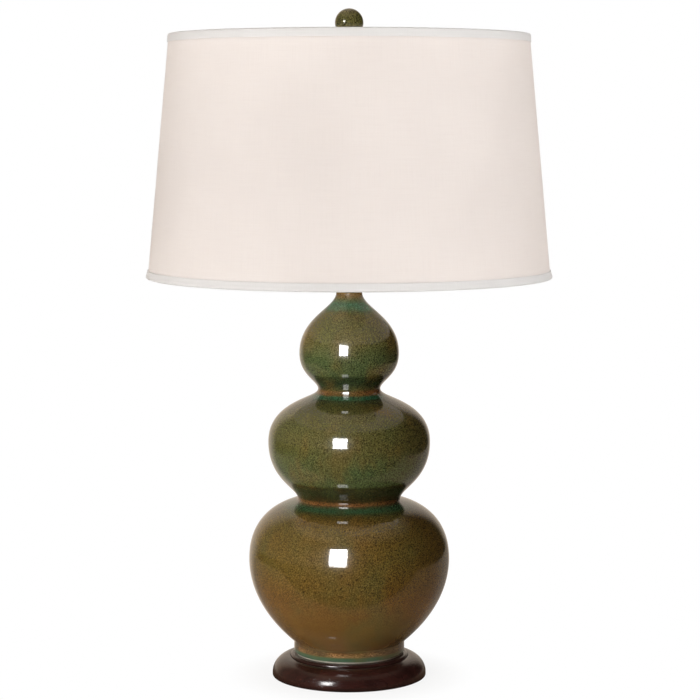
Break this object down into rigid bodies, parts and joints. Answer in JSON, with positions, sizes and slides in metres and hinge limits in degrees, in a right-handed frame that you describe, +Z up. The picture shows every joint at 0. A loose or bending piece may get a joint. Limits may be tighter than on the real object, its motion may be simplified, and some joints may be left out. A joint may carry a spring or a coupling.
{
  "type": "table lamp",
  "caption": "Table lamp: triple-gourd glazed body on a turned wood base, keyed lamp holder with bulb, wire harp, round tapered hardback shade and ball finial.",
  "frame": {"origin": "middle of the felt pad's underside, on the table", "axes": "+Z up along the lamp's axis; -Y is the front, where the switch knob points; +Y is the back, where the lead leaves; the harp lies in the XZ plane"},
  "size_m": [0.4883, 0.4882, 0.8089],
  "materials": {
    "felt": "cut felt",
    "mahogany": "satin dark stain",
    "black_plastic": "moulded",
    "zinc_steel": "zinc plated",
    "brass": "polished and lacquered",
    "brass_pipe": "brassed steel",
    "glaze": "gloss tea-dust glaze, speckled",
    "finial_glaze": "gloss tea-dust glaze, speckled",
    "fibre": "insulating card",
    "bakelite": "moulded",
    "nickel": "nickel plated",
    "bulb_white": "inside frosted",
    "bulb_base": "drawn shell",
    "bulb_black": "black glass insulator",
    "harp_brass": "brassed wire",
    "shade_wire": "white enamel",
    "shade_liner": "white styrene",
    "shade_linen": "off-white woven",
    "shade_tape": "off-white trim tape"
  },
  "bodies": {
    "lamp_base": {"felt_pad": "felt", "wood_base": "mahogany", "outlet_bush": "black_plastic", "flat_washer": "zinc_steel", "lock_washer": "zinc_steel", "hex_nut": "brass", "lamp_pipe": "brass_pipe", "ceramic_body": "glaze", "vase_cap": "brass", "neck_spacer": "brass", "harp_saddle": "harp_brass", "holder_cap": "brass", "set_screw": "zinc_steel", "holder_shell": "brass", "fibre_liner": "fibre", "switch_body": "bakelite", "screw_shell": "nickel", "centre_contact": "brass", "terminal_screws": "brass"},
    "switch": {"switch_shaft": "brass", "switch_knob": "black_plastic"},
    "bulb": {"bulb_glass": "bulb_white", "bulb_cap": "bulb_base", "bulb_insulator": "bulb_black", "bulb_contact": "bulb_base"},
    "harp": {"harp_wire": "harp_brass", "harp_crown": "harp_brass"},
    "left_sleeve": {"sleeve_left": "nickel"},
    "right_sleeve": {"sleeve_right": "nickel"},
    "swivel": {"harp_stud": "brass"},
    "shade": {"shade_spider": "shade_wire", "shade_bottom_ring": "shade_wire", "shade_backing": "shade_liner", "shade_fabric": "shade_linen", "shade_top_trim": "shade_tape", "shade_bottom_trim": "shade_tape"},
    "finial": {"finial_collar": "brass", "finial_ball": "finial_glaze"}
  },
  "joints": [
    {"name": "switch_turn", "type": "hinge", "parent": "lamp_base", "child": "switch", "pos_m": [0, -0.03, 0.5221], "axis": [0, -1, 0], "continuous": true},
    {"name": "bulb_unscrew", "type": "slide", "parent": "lamp_base", "child": "bulb", "axis": [0, 0, 1], "range_m": [0, 0.03]},
    {"name": "harp_lift", "type": "slide", "parent": "lamp_base", "child": "harp", "axis": [0, 0, 1], "range_m": [0, 0.25]},
    {"name": "left_sleeve_lift", "type": "slide", "parent": "harp", "child": "left_sleeve", "axis": [0, 0, 1], "range_m": [0, 0.012]},
    {"name": "right_sleeve_lift", "type": "slide", "parent": "harp", "child": "right_sleeve", "axis": [0, 0, 1], "range_m": [0, 0.012]},
    {"name": "shade_turn", "type": "hinge", "parent": "harp", "child": "swivel", "pos_m": [0, 0, 0.76], "axis": [0, 0, 1], "continuous": true},
    {"name": "shade_lift", "type": "slide", "parent": "swivel", "child": "shade", "axis": [0, 0, 1], "range_m": [0, 0.3]},
    {"name": "finial_lift", "type": "slide", "parent": "shade", "child": "finial", "axis": [0, 0, 1], "range_m": [0, 0.03]}
  ]
}
